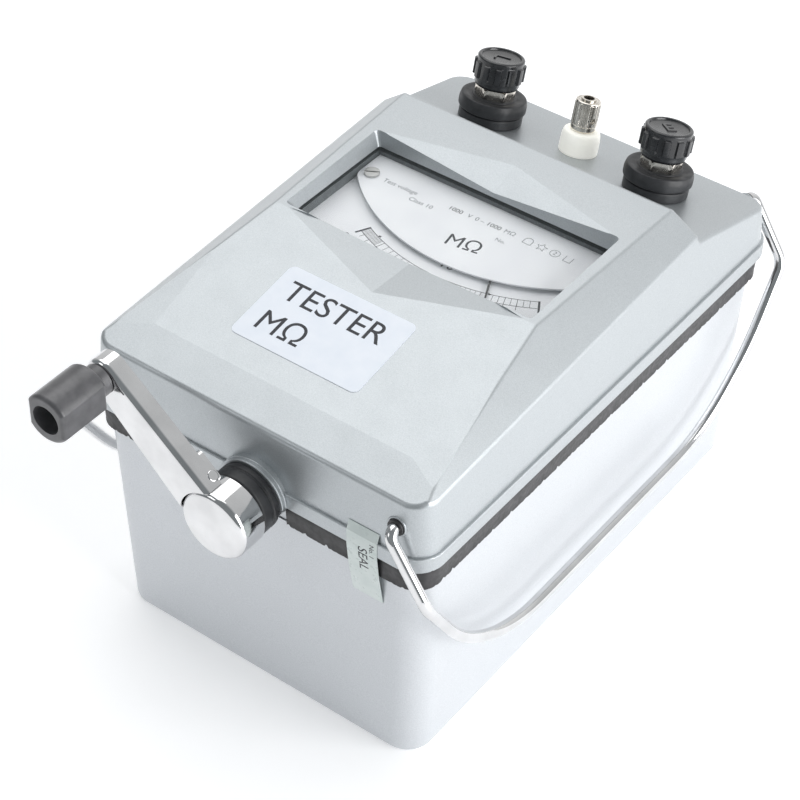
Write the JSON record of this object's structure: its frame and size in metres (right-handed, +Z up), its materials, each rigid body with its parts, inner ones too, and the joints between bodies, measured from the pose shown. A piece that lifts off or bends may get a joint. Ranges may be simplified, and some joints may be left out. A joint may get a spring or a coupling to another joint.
{
  "type": "insulation resistance tester",
  "caption": "Hand-cranked insulation resistance meter: boxy cast case with sloping top and dial window, folding wire bails, side crank, and terminals on a rear panel.",
  "frame": {"origin": "centre of the flat base face, on the surface the tester stands on", "axes": "+Z up, -Y towards the crank, +Y towards the terminals, +X right when facing the crank end"},
  "size_m": [0.1518, 0.2647, 0.147],
  "materials": {
    "paint": "satin silver-grey paint on die-cast aluminium",
    "black_rubber": "matt black rubber",
    "clear_glass": "clear glass",
    "white_dial": "matt white enamel",
    "black_paint": "matt black",
    "chrome_steel": "bright chrome plate",
    "nickel": "bright nickel plate",
    "steel": "zinc plated steel",
    "brass": "turned brass",
    "aluminium": "bare aluminium",
    "magnet_iron": "dark ground iron",
    "black_phenolic": "glossy black moulded plastic",
    "white_nylon": "natural white nylon",
    "copper_winding": "enamelled copper wire",
    "green_board": "glass-fibre board",
    "sleeve_blue": "shrink sleeve",
    "paper_white": "white paper sticker"
  },
  "bodies": {
    "case": {"lower_case": "paint", "top_cover": "paint", "gasket": "black_rubber", "case_screws": "steel", "window_glass": "clear_glass", "window_frame": "steel", "dial_plate": "white_dial", "dial_cover_plate": "white_dial", "dial_spacers": "brass", "dial_screws": "steel", "meter_frame": "aluminium", "meter_pillars": "brass", "meter_magnet": "magnet_iron", "pole_core": "magnet_iron", "crank_bush": "black_phenolic", "gear_plate_front": "steel", "gear_plate_rear": "steel", "generator_end_plate": "steel", "plate_spacers": "steel", "generator_stator": "steel", "stator_coils": "copper_winding", "generator_cradle": "aluminium", "bail_bushes": "black_rubber", "terminal_collars": "black_phenolic", "terminal_nuts": "nickel", "terminal_studs": "brass", "guard_insulator": "white_nylon", "guard_stud": "nickel", "circuit_board": "green_board", "board_pillars": "aluminium", "transformer": "copper_winding", "capacitors": "sleeve_blue", "label": "paper_white", "seal_sticker": "paper_white"},
    "crank": {"crank_shaft": "steel", "drive_gear": "brass", "crank_hub": "chrome_steel", "crank_arm": "chrome_steel", "hub_pin": "chrome_steel", "grip_spindle": "steel"},
    "grip": {"crank_grip": "black_phenolic"},
    "middle_wheels": {"middle_shaft": "steel", "middle_pinion": "steel", "middle_gear": "brass"},
    "rotor": {"rotor_shaft": "steel", "rotor_pinion": "steel", "generator_rotor": "magnet_iron"},
    "needle": {"pointer": "black_paint", "moving_coil": "copper_winding"},
    "right_bail": {"bail_right": "chrome_steel"},
    "left_bail": {"bail_left": "chrome_steel"},
    "right_knob_lift": {"knob_insert_right": "brass"},
    "right_knob": {"knob_right": "black_phenolic"},
    "left_knob_lift": {"knob_insert_left": "brass"},
    "left_knob": {"knob_left": "black_phenolic"},
    "guard_lift": {"guard_insert": "brass"},
    "guard_knob": {"guard_nut": "nickel"}
  },
  "joints": [
    {"name": "crank_turn", "type": "hinge", "parent": "case", "child": "crank", "pos_m": [0.003, -0.12, 0.095], "axis": [0, -1, 0], "continuous": true},
    {"name": "grip_spin", "type": "hinge", "parent": "crank", "child": "grip", "pos_m": [-0.04068, -0.14, 0.13406], "axis": [0, -1, 0], "continuous": true},
    {"name": "middle_spin", "type": "hinge", "parent": "case", "child": "middle_wheels", "pos_m": [0.003, -0.086, 0.071], "axis": [0, -1, 0], "continuous": true},
    {"name": "rotor_spin", "type": "hinge", "parent": "case", "child": "rotor", "pos_m": [0.003, -0.046, 0.047], "axis": [0, -1, 0], "continuous": true},
    {"name": "needle_swing", "type": "hinge", "parent": "case", "child": "needle", "pos_m": [0, 0.044, 0.126], "axis": [0, 0, 1], "range_deg": [-62, 13]},
    {"name": "right_bail_swing", "type": "hinge", "parent": "case", "child": "right_bail", "pos_m": [0.0584, 0, 0.1108], "axis": [0, -1, 0], "range_deg": [0, 215]},
    {"name": "left_bail_swing", "type": "hinge", "parent": "case", "child": "left_bail", "pos_m": [-0.0584, 0, 0.1108], "axis": [0, 1, 0], "range_deg": [0, 215]},
    {"name": "right_knob_turn", "type": "hinge", "parent": "right_knob_lift", "child": "right_knob", "pos_m": [0.0352, 0.08208, 0.1353], "axis": [0, 0.2523, 0.9677], "range_deg": [0, 1080]},
    {"name": "right_knob_rise", "type": "slide", "parent": "case", "child": "right_knob_lift", "axis": [0, 0.2523, 0.9677], "range_m": [0, 0.003]},
    {"name": "left_knob_turn", "type": "hinge", "parent": "left_knob_lift", "child": "left_knob", "pos_m": [-0.0364, 0.08208, 0.1353], "axis": [0, 0.2523, 0.9677], "range_deg": [0, 1080]},
    {"name": "left_knob_rise", "type": "slide", "parent": "case", "child": "left_knob_lift", "axis": [0, 0.2523, 0.9677], "range_m": [0, 0.003]},
    {"name": "guard_nut_turn", "type": "hinge", "parent": "guard_lift", "child": "guard_knob", "pos_m": [0, 0.08578, 0.13434], "axis": [0, 0.2523, 0.9677], "range_deg": [0, 1080]},
    {"name": "guard_nut_rise", "type": "slide", "parent": "case", "child": "guard_lift", "axis": [0, 0.2523, 0.9677], "range_m": [0, 0.003]}
  ],
  "couplings": [
    {"joint": "middle_spin", "follows": "crank_turn", "ratio": -3},
    {"joint": "rotor_spin", "follows": "crank_turn", "ratio": 9},
    {"joint": "right_knob_rise", "follows": "right_knob_turn", "m_per_rad": 0.00015915},
    {"joint": "left_knob_rise", "follows": "left_knob_turn", "m_per_rad": 0.00015915},
    {"joint": "guard_nut_rise", "follows": "guard_nut_turn", "m_per_rad": 0.00015915}
  ]
}
